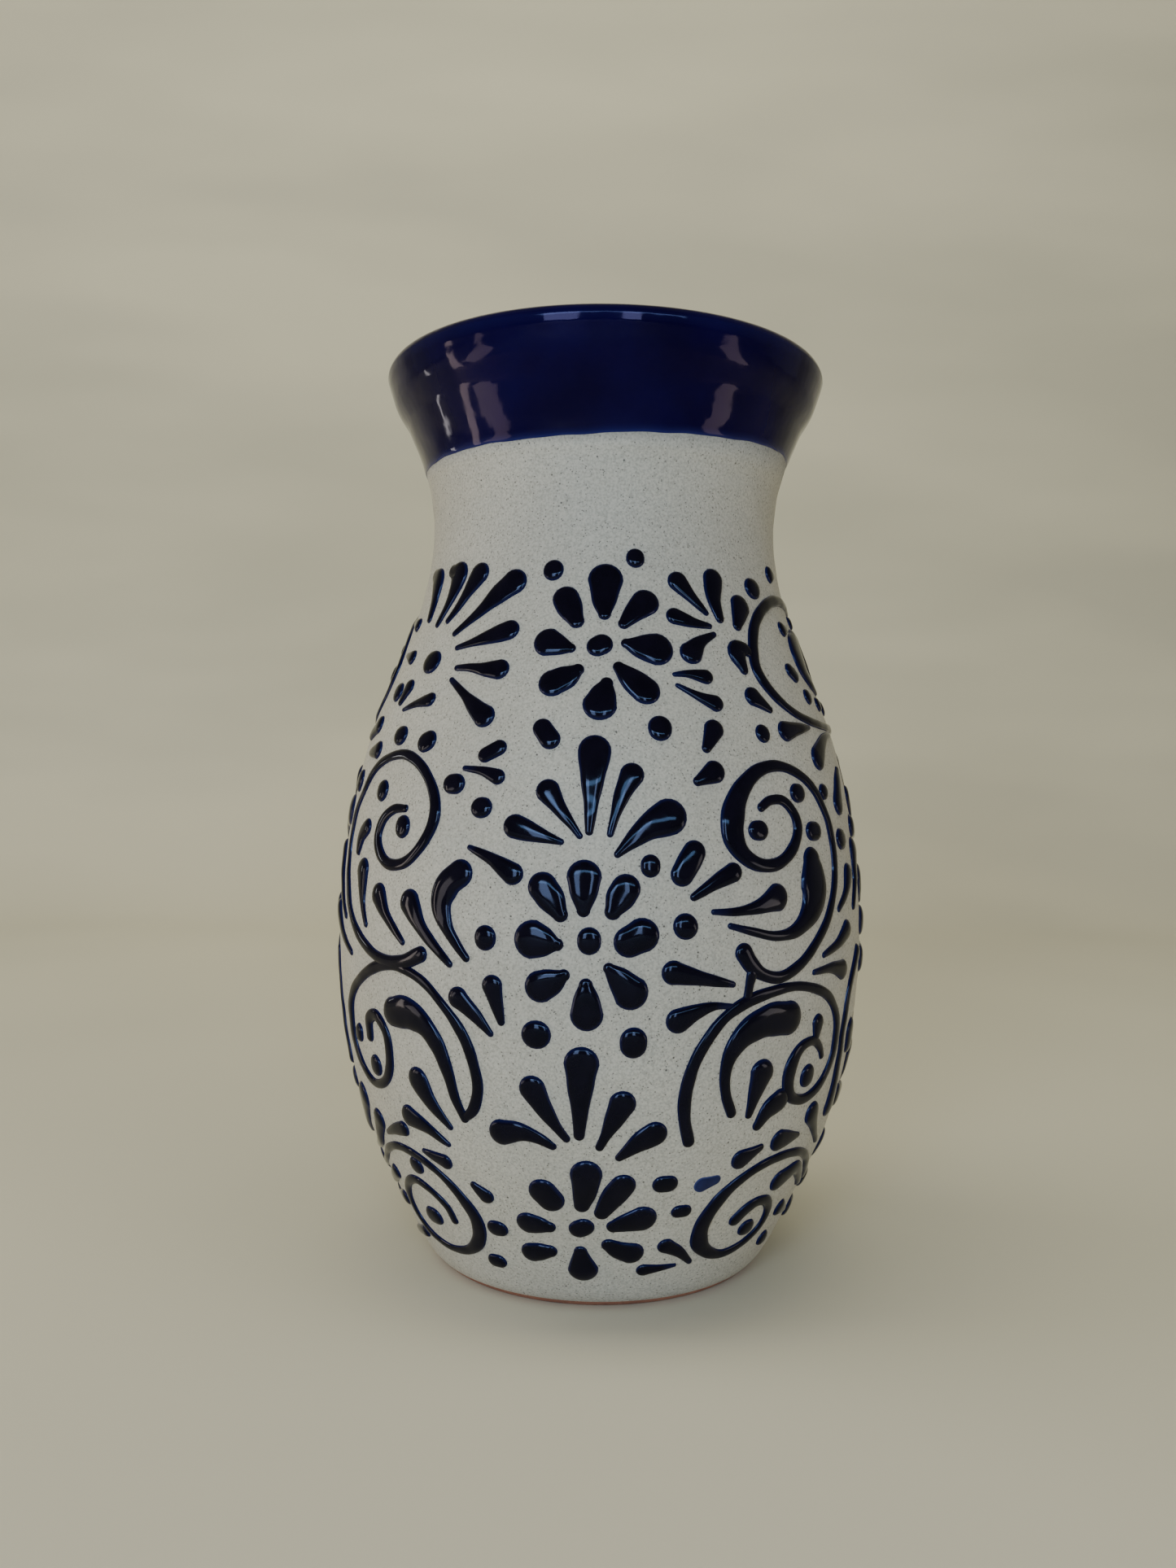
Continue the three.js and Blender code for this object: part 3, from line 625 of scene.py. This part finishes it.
CENTRE_DROPS = [
    dot(-14.8, 208.9, 5.8, 6.2), dot(8.3, 212.5, 5.4, 5.9), [[-13, 163.5, 5.8], [-11.2, 160.5, 5.8]],
    dot(11.55, 163.8, 6.9, 7.5), [[-17, 124.8, 6.2], [-21.4, 128.5, 3.6], [-26.2, 131.3, 1.6]],
    dot(8.7, 127.4, 5.3, 6.2), dot(-21.9, 107.7, 6, 6.6), dot(15.2, 111.7, 7, 7.2, 30),
    [[17.2, 131, 6.5], [14.7, 125.2, 6.5]], [[25.1, 125.6, 5.8], [21.4, 123.1, 4], [16.9, 119.3, 2.2]],
    [[-20.4, 95.2, 6], [-18.7, 85.8, 2.2]], [[-27.6, 91.2, 6.2], [-24, 87, 4], [-20.9, 82.4, 1.8]],
    dot(-12, 83, 8.4, 8.1), dot(5.9, 81.4, 7.1, 8.2),
    [[13, 99.7, 6.8], [17.4, 98.3, 4.4], [24.8, 96, 1.8]],
    [[14.1, 87, 7], [17.4, 89.1, 4.6], [21.3, 90.5, 2.2], [25.5, 90, 1.6]], dot(-25.5, 24.8, 6.6, 5.3),
    dot(-28.4, 13.5, 6.3, 4.7), [[-26.4, 35, 5], [-29, 37.8, 2.4]], dot(14.3, 41.4, 7.4, 5.5),
    dot(19.4, 32.3, 6.1, 4.2), [[17.4, 21.2, 5.2], [21.4, 18.7, 3.4], [25.6, 14.7, 1.8]],
    [[12.4, 13.7, 4], [16.9, 13.9, 2.4], [21.2, 14.2, 1.3]],
]

# The scrolls and the fat commas on both sides of that column; each stands for one CAD node per half.
SCROLLS = {
    "scroll_left": [[
        [-44.2, 141.3, 2.4], [-48, 141, 3], [-51.6, 138, 3.6], [-52.9, 133.2, 4], [-51.2, 128.6, 4],
        [-47.5, 125.6, 3.4], [-42.5, 126.3, 3.4], [-38, 131.4, 3.6], [-35.4, 139.5, 3.9],
        [-37, 146.8, 3.6], [-41.5, 153.2, 3.2], [-47.5, 156.5, 3.2], [-54, 156, 3], [-60, 153, 3],
        [-65.2, 146.2, 3], [-68.8, 138, 2.8], [-69, 128.5, 2.8], [-66, 116.5, 3], [-61.5, 108, 3.2],
        [-55, 102.2, 3.4], [-48.3, 98.9, 3.6], [-42, 98.8, 4.2], [-36.4, 101.8, 4.8],
    ], [
        [-28.1, 57.8, 2.4], [-25.8, 60.8, 3.2], [-24.3, 67, 3.4], [-24.8, 73.4, 3.4], [-27, 81.6, 3.4],
        [-31, 88.6, 2.8], [-36.5, 94.9, 2.8], [-43.5, 97.6, 3], [-50, 96.4, 3.4], [-57, 92, 3.4],
        [-62.6, 86.2, 3.8], [-65, 78.5, 4.4], [-64.4, 71.5, 4], [-61.2, 65, 3.2], [-55.8, 61.4, 3],
        [-50.8, 63.4, 3.2], [-47.8, 69.4, 3.6], [-48, 78, 3.5], [-51.2, 82.3, 3.6], [-54.2, 80.8, 4],
        [-54.7, 75.6, 3.8],
    ]],
    "scroll_right": [[
        [32.9, 142.9, 2.6], [35.4, 144.8, 2.9], [39, 144.9, 3.1], [42, 141.2, 3.5], [42.5, 136.2, 3.7],
        [40, 131, 3.8], [35.6, 127.5, 3.6], [31, 127.6, 4], [27.4, 130.6, 5.4], [25.6, 135.6, 7],
        [26.2, 142.2, 7], [28.9, 148.4, 5.6], [33.4, 153, 4], [39, 154.5, 3.3], [45.4, 152.5, 3.2],
        [50.6, 148, 3.2], [54, 141, 3.3], [55.5, 133, 3.4], [55, 123.6, 3.2], [52, 114, 3.3],
        [47, 106, 3.4], [41, 99.6, 3.4], [35.5, 96.9, 3.4], [31.4, 98.2, 3.8], [28.7, 101, 5],
        [27.1, 104.2, 5.4],
    ], [[28.9, 98.5, 3.4], [28.4, 95, 2.8], [28.2, 92, 3.2]], [
        [18.1, 53.6, 3.6], [16.7, 60, 3.5], [16.4, 66.5, 3.8], [17.4, 74, 3.7], [19.8, 81, 3.5],
        [23.4, 87.2, 3.2], [27.8, 90.9, 3.8], [33.7, 93.1, 3.2], [40, 93.9, 2.8], [46.4, 92.4, 2.9],
        [52, 89.2, 3.2], [56.2, 83.2, 3.5], [57.8, 75.4, 3.8], [56.6, 68.4, 3.8], [53, 62.9, 3.5],
        [47.6, 60.5, 3.2], [43, 62.1, 3.7], [41, 66.6, 4.8], [41.4, 72.3, 4.8], [44, 76.5, 3.5],
        [47.8, 77.3, 3], [50.8, 74.6, 2.6], [51.8, 72.2, 2.2],
    ]],
    "low_spiral_left": [[
        [-39.4, 23.8, 2.6], [-40.4, 28, 2.8], [-44, 31.7, 2.8], [-49.4, 33.7, 3], [-54.6, 31.6, 3],
        [-58.9, 26.4, 3.3], [-59.6, 20.8, 3.1], [-56.2, 16.3, 2.8], [-50, 13.7, 2.6], [-43.5, 13.2, 2.7],
        [-37.2, 15, 3.3], [-32.8, 19.2, 4.7], [-31.3, 25.5, 4.8], [-33.4, 32, 3.8], [-38.4, 38.6, 2.9],
        [-45, 42.6, 2.8], [-52.5, 43.3, 2.8], [-60, 40.2, 2.6], [-67, 35, 2.6], [-74, 31, 2.4],
    ]],
    "low_spiral_right": [[
        [36.6, 26.2, 4.8], [39, 28.9, 4.6], [42.4, 30.4, 3.7], [46.4, 29.5, 3.6], [49.4, 25.8, 3.6],
        [49.4, 21.2, 3.2], [46, 17.8, 2.8], [41, 15.6, 3], [35.6, 15, 3.3], [30.6, 16.9, 4],
        [27, 20.8, 5.4], [26.2, 26.6, 5.4], [28.2, 33.2, 4.7], [32.4, 38.9, 3.7], [38, 42.6, 3.2],
        [45, 44, 3], [52, 43.3, 3], [58.6, 40.2, 3], [64, 35.4, 3], [70, 30, 2.8],
    ]],
    "high_scroll_right": [[
        [74, 205.9, 3.4], [66, 206, 3.6], [58, 204.5, 3.7], [50.6, 201, 3.8], [45, 196.2, 3.8],
        [41.2, 189, 4], [40.2, 181.8, 4.2], [43, 176, 3.6], [48.6, 171, 3.2], [56, 168.4, 2.9],
        [65, 167.5, 2.9], [74, 167.3, 2.8], [84, 167.2, 2.9], [93, 168.4, 3], [100, 171.6, 3.1],
        [105.5, 177.5, 3.3], [107.5, 184.5, 3.4], [105, 192, 3.3], [99.5, 197.7, 3.2], [91, 202.4, 3.2],
        [82, 205, 3.3], [73.5, 205.9, 3.3],
    ]],
    "comma_left": [[
        [-27.9, 124.3, 8], [-30.4, 121.4, 8.2], [-31.8, 116.4, 7], [-30.4, 110.4, 4.4],
        [-27.9, 105.4, 3], [-25.8, 102, 2.3],
    ]],
    "comma_right": [[
        [46.2, 128.2, 7.6], [46.4, 123.6, 12], [46.2, 118.4, 11.6], [43.6, 112.8, 7], [39.4, 109, 4.2],
        [34.5, 108.2, 2.8], [29.5, 109.6, 2.4], [24.2, 111.5, 1.8],
    ]],
}

# The smaller drops, commas and dots, by the motif that they surround.
SMALL = {
    "low_comma_left": [[
        [-44.8, 84.6, 8.8], [-40.5, 85, 9.2], [-36.2, 82.6, 7], [-33, 77.4, 5.4], [-31, 70.6, 4],
        [-29.8, 63.4, 3.2], [-28.1, 57.8, 2.6],
    ]],
    "low_comma_right": [[
        [38.9, 85.3, 9.6], [33.5, 85.4, 9.6], [28.6, 82.8, 7.6], [25.4, 77.6, 5], [24.4, 71.4, 3.5],
        [25.2, 65.6, 3.1], [26.9, 60.6, 3],
    ]],
    "sun_left": [
        dot(-48.8, 183.8, 8.2, 7.5),
        [[-64.5, 212.3, 4.5], [-61.3, 210.5, 7], [-60, 204, 4.4], [-59, 198, 2.6]],
        [[-52.2, 212, 4.5], [-48.6, 210.6, 7.4], [-49.8, 203.5, 4.2], [-52.6, 195.6, 2.2]],
        [[-39.3, 209.6, 7.4], [-42.6, 204.5, 4.6], [-45.6, 199.2, 2.8], [-47.9, 196.2, 2]],
        [[-26.4, 206, 8.2], [-31, 202.5, 6.6], [-36, 197.6, 3.8], [-43, 191.9, 2]],
        [[-25, 191.6, 6.4], [-30, 190.1, 5], [-35, 188.7, 3], [-40.3, 187.4, 1.8]],
        [[-25.5, 180.2, 6.4], [-30, 180.5, 4], [-34.4, 181.2, 2.6], [-38.3, 181.3, 2]],
        [[-26.9, 167, 6.6], [-28.9, 168.8, 5.5], [-33.3, 173, 3], [-38.9, 177.8, 1.8]],
        [[-44.4, 172.4, 4.6], [-49.4, 171.5, 2.6], [-54.4, 170, 1.4]],
        [[-55.8, 176.8, 5], [-57.5, 172.5, 2.6]], dot(-61.7, 175.7, 6, 6.5),
        [[-61.2, 186.4, 4.8], [-66, 187.5, 2]], [[-67.8, 197.3, 4.6], [-72, 198.5, 3]],
    ],
    "spiral_drops_left": [
        dot(-51.7, 162.2, 7, 6.3), dot(-41.4, 160.2, 7.6, 6.3, 20), [[-62.2, 158.3, 6], [-67, 157.8, 3]],
        [[-67.2, 166.2, 6], [-73, 163.5, 4]], [[-71, 149.8, 6], [-71.6, 148.6, 6]],
        dot(-44.3, 136.2, 6.1, 6.7), dot(-54.2, 146.2, 6.2, 6.6),
        [[-58.8, 135.5, 5.4], [-60.8, 133.5, 5.6], [-61.9, 128.3, 2.6]],
        [[-57.9, 123.1, 7.4], [-56.7, 114.3, 3], [-54.7, 107.7, 2]],
        [[-50, 116.7, 7.4], [-47.2, 111.8, 4], [-41.5, 104.5, 2]],
        [[-39.9, 115.6, 7.6], [-36.1, 108.5, 4.2], [-29.4, 100, 2]], dot(-31.6, 148.3, 7.4, 5.9),
        dot(-24.4, 142, 6.6, 6), [[-25, 156.2, 4.6], [-22, 158.2, 4.6]],
        [[-21.6, 150.3, 4.4], [-25, 151.8, 2.8], [-29.4, 152.6, 1.6]],
        [[-78, 128, 6.4], [-74.5, 119, 3.6], [-67, 108.5, 2]],
        [[-76, 109.6, 6], [-71, 104.4, 3.4], [-62.2, 98.5, 2]],
    ],
    "scroll_drops_left": [
        dot(-60.3, 75.2, 5, 5.9), dot(-53.7, 67.2, 6.1, 6.6),
        [[-39.2, 66.6, 7.4], [-36.1, 60.3, 4.6], [-32.1, 54.5, 2]],
        [[-43.9, 54.9, 7], [-38.9, 52.8, 4.2], [-33.6, 49.1, 1.8]],
        [[-47.5, 50.1, 5], [-51.7, 48.7, 3.6], [-55.8, 46.6, 1.8]],
        [[-35.6, 43.4, 5], [-41.8, 45.1, 1.6]],
        [[-59.2, 49.5, 7], [-63.9, 42, 4], [-69.4, 38.7, 3], [-74, 37, 2.6]],
        [[-67.2, 54.5, 8], [-72, 47, 6], [-76, 42, 4]], dot(-82.5, 78, 6.6, 8.6),
        [[-78, 97, 2.6], [-77.6, 88, 3], [-77, 78, 3.4], [-76.4, 70, 4], [-75.6, 64, 4.8]],
    ],
    "foot_drops_left": [
        dot(-48.1, 22.7, 7.6, 5.9), dot(-46.8, 39.1, 6.2, 6), [[-61.7, 32.4, 5], [-69.4, 27.8, 3.6]],
        [[-65, 22.8, 5], [-71, 22, 3]], [[-59.5, 13.7, 4], [-70, 11, 3]],
    ],
    "sun_right": [
        [[20.3, 206.3, 6.4], [23.7, 202.2, 4], [27.6, 197.6, 1.8]],
        [[32, 208, 6.8], [31.2, 202.2, 5], [31.7, 196.3, 3]], [[40.6, 200.9, 7.4], [37.3, 194.7, 3.4]],
        dot(48.3, 207.3, 7.3, 6.6), [[62.5, 213.7, 5.6], [67.5, 214, 2]],
        [[18.2, 195.9, 5.6], [23.1, 194.4, 3.4], [27.8, 193.7, 1.8]],
        [[21.2, 185.5, 7.2], [24.2, 188.8, 4], [28.6, 191.3, 1.8]],
        [[35.6, 181.6, 3.2], [34.8, 187, 6.6], [37.8, 187.6, 4.4], [39.5, 186.3, 2.4]],
        [[23.9, 178.7, 4.4], [19.2, 179.3, 2.4], [16.1, 179, 1.4]],
        [[25.1, 171.3, 5.2], [21.4, 173, 3], [16.5, 175.9, 1.4]], [[36.4, 173.8, 6], [40.6, 170.5, 2.4]],
        [[23.6, 163.8, 6], [21.4, 158.8, 2.8]], dot(36.5, 163.4, 5.5, 5.7),
        [[44.2, 164.5, 6.4], [49.2, 165.5, 4], [55, 166.2, 1.6]],
        [[55.6, 157.3, 7.6], [59.8, 161.3, 5], [64.2, 163.8, 3], [69.8, 164.7, 2]],
        [[22.5, 152.3, 6.6], [18.8, 149.8, 3]],
    ],
    "oval_fill_right": [
        [[60.5, 196.5, 5], [64.5, 196.8, 2]], dot(56.2, 182.6, 7, 4.8, -35), dot(61.4, 175.9, 5),
        dot(69.8, 174.3, 5),
        [[70, 194.5, 7], [66.8, 190.5, 11.5], [66.6, 186.5, 11], [69, 181.5, 5.5], [73.5, 178.5, 2.6]],
        [[82.5, 195.5, 7], [81, 189, 4], [78.5, 182.5, 2]],
        [[92, 193.5, 6.8], [88, 188.6, 4], [83, 183.6, 2]],
        [[97.5, 183.5, 6.6], [92.5, 182.1, 4], [86, 180.6, 2]], dot(81, 174, 5.4), dot(91, 174.6, 5.4),
        dot(75.5, 200.4, 4.6), dot(99, 191, 4.6),
    ],
    "spiral_drops_right": [
        dot(31.6, 136.7, 7, 5.8), dot(44.2, 147, 6.8, 5.8), dot(48, 136.3, 7.3, 5.4),
        dot(54.9, 147.5, 5), dot(60.9, 133.7, 7.4, 6.4),
        [[35.1, 118.5, 7.6], [30.3, 116.2, 4], [25.3, 115.2, 2.4], [20.8, 115.3, 1.6]],
        [[62.8, 123.5, 6.4], [60.1, 117.7, 3.4], [56.1, 113.7, 2]],
        [[59.8, 107.3, 6.4], [55.3, 103.9, 3.4], [49.2, 101.4, 1.8]],
        [[57.8, 96, 6.2], [52.6, 97.3, 3.2], [45.9, 97, 1.8]],
        [[62.5, 144, 7], [65, 150, 5], [68, 154, 3]],
        [[70.3, 130, 8], [68.7, 121, 4], [65.6, 113.5, 2.4]],
    ],
    "scroll_drops_right": [
        [[48.5, 82.3, 5.6], [48.5, 78.5, 3]], dot(47.2, 67.4, 6.5, 7.2),
        [[33.1, 70.8, 8.4], [32, 64.5, 4.6], [31.3, 59.3, 2.2]],
        [[34.2, 55.8, 3.4], [36.4, 59.9, 6], [39.2, 62, 7]], [[31.7, 46.2, 6], [36.7, 48.7, 2.4]],
        [[42.3, 49.5, 7], [49.2, 49.3, 2]], [[53.1, 54.9, 7], [57, 49.5, 3.6], [62.3, 43.8, 2]],
        [[63.6, 54.5, 8], [63, 62, 5], [62.2, 72, 3.8], [62, 81, 3.6], [63.6, 90, 3.8], [66.4, 96, 4.4],
         [68.4, 99.4, 5.4]],
        dot(69.4, 74, 8, 11),
    ],
    "foot_drops_right": [
        dot(42.3, 22, 6.4, 5.6), [[48.1, 35.5, 7], [54.8, 37.4, 5], [59.2, 34.5, 4], [63.7, 30.3, 3]],
        [[57.6, 23.7, 6], [63, 21.5, 3]], dot(55.3, 14.5, 5.4),
    ],
}
RUBBED_DOT = [[[23.2, 40, 5.2], [26.3, 40.9, 3.4]]]
SIDE_COLUMN_AT = 90  # the column between the front's scrolls and the back's

for name, stroke in COLUMN.items():
    add_strokes(name, [stroke], stands_for=[name])
add_strokes("centre_drops_front", CENTRE_DROPS)
add_strokes("rubbed_dot", RUBBED_DOT, material=RUBBED, rise=0.5)
for half, turn in (("front", 0), ("back", 180)):
    for name, strokes in SCROLLS.items():
        add_strokes(f"{name}_{half}", strokes, turn, stands_for=[f"{name}_{half}"])
    for name, strokes in SMALL.items():
        add_strokes(f"{name}_{half}", strokes, turn)
for motif in ("rosette_high", "fan_high", "rosette_mid", "fan_low", "rosette_low"):
    strokes = [stroke for name, stroke in COLUMN.items() if name.startswith(motif)]
    add_strokes(f"{motif}_back", strokes, 180)
    if motif != "rosette_high":
        add_strokes(f"{motif}_right", strokes, SIDE_COLUMN_AT)
        add_strokes(f"{motif}_left", strokes, SIDE_COLUMN_AT + 180)
add_strokes("centre_drops_back", CENTRE_DROPS, 180)


# ---- floor and light ----
def add_backdrop():
    """A pale paper sweep: a floor that curves up behind the vase."""
    half_width, bend_at, bend, top, columns = 3.0, 0.9, 0.5, 3.4, 9
    profile = [(-half_width, 0), (bend_at, 0)]
    for t in np.linspace(0, math.pi / 2, 24)[1:]:
        profile.append((bend_at + bend * math.sin(t), bend - bend * math.cos(t)))
    profile.append((bend_at + bend, top))
    vertices = [(x, y, z) for y, z in profile for x in np.linspace(-half_width, half_width, columns)]
    faces = []
    for i in range(len(profile) - 1):
        for j in range(columns - 1):
            here = i * columns + j
            faces.append([here, here + 1, here + columns + 1, here + columns])
    mesh = bpy.data.meshes.new("backdrop")
    mesh.from_pydata(vertices, [], faces)
    mesh.polygons.foreach_set("use_smooth", [True] * len(mesh.polygons))
    material, tree, shader = new_material("backdrop")
    # Soft diagonal bands of painted light and shade, as of folds in the sheet; the sweep itself is smooth.
    slanted = {"Vector": object_place(tree), "Rotation": (0, 0.9, 0), "Scale": (1.2, 1, 4.5)}
    slant = node(tree, "ShaderNodeMapping", slanted).outputs["Vector"]
    painted_fold_shade = noise(tree, slant, 1.3, 2, 0.5)
    color = mix_color(tree, ramp(tree, painted_fold_shade, 0.35, 0.65), (0.62, 0.60, 0.485), (0.72, 0.69, 0.55))
    tree.links.new(color, shader.inputs["Base Color"])
    shader.inputs["Roughness"].default_value = 0.9
    mesh.materials.append(material)
    backdrop = bpy.data.objects.new("backdrop", mesh)
    bpy.context.collection.objects.link(backdrop)


def add_light(name, place, target, size, power, color=(1, 1, 1), spin=0, gloss=True, matte=True):
    """A soft light, turned by spin about its own axis.

    One without gloss isn't mirrored in the glaze, and one without matte is only mirrored.
    """
    data = bpy.data.lights.new(name, "AREA")
    data.shape = "RECTANGLE"
    data.size, data.size_y = size
    data.energy = power
    data.color = color
    light = bpy.data.objects.new(name, data)
    light.location = place
    away = np.array(place) - np.array(target)
    light.rotation_mode = "QUATERNION"
    aim = Vector(away).to_track_quat("Z", "Y")
    light.rotation_quaternion = aim @ Quaternion((0, 0, 1), math.radians(spin))
    bpy.context.collection.objects.link(light)
    light.visible_camera = False
    light.visible_glossy = gloss
    light.visible_diffuse = matte


add_backdrop()
VASE = (0, 0, HEIGHT * MM / 2)
LIP = (0, -0.05, 0.26)
DAYLIGHT = (0.68, 0.81, 1)
WARM_ROOM = (1, 0.78, 0.56)
add_light("window_left_pane", (-0.56, -1.39, 0.38), VASE, (0.40, 0.58), 8.4, DAYLIGHT)
add_light("window_right_pane", (0.31, -1.47, 0.38), VASE, (0.22, 0.58), 4.8, DAYLIGHT)
add_light("window_bar", (0.07, -1.43, 0.59), VASE, (2.0, 0.12), 8.6, (0.45, 0.77, 1), matte=False)
add_light("soft_left", (-1.8, 0.1, 1.4), VASE, (1.4, 1.6), 10, (1, 0.95, 0.84), gloss=False)
add_light("soft_back", (-0.1, -0.1, 2.2), (-0.1, 1.3, 0.7), (1.8, 1.0), 22, (1, 0.95, 0.76), gloss=False)
add_light("streak_left", (-0.55, 0.12, 0.17), LIP, (0.02, 0.08), 0.04, (1, 0.95, 0.85))
add_light("mauve_left_tall", (-0.60, -0.08, 0.11), LIP, (0.06, 0.22), 0.30, WARM_ROOM, spin=-8)
add_light("mauve_left_low", (-0.56, -0.24, 0.08), LIP, (0.22, 0.12), 0.36, WARM_ROOM, spin=45)
add_light("mauve_right", (0.58, -0.26, 0.08), LIP, (0.24, 0.11), 0.34, WARM_ROOM, spin=-45)


def add_surroundings():
    """A dim plain room, darker overhead."""
    world = bpy.context.scene.world or bpy.data.worlds.new("world")
    bpy.context.scene.world = world
    world.use_nodes = True
    tree = world.node_tree
    background = tree.nodes["Background"]
    background.inputs["Color"].default_value = (0.62, 0.60, 0.53, 1)
    up = node(tree, "ShaderNodeTexCoord").outputs["Generated"]
    height = node(tree, "ShaderNodeSeparateXYZ", {"Vector": up}).outputs["Z"]
    tree.links.new(ramp(tree, height, 0.1, 0.8, 0.42, 0.24), background.inputs["Strength"])


add_surroundings()
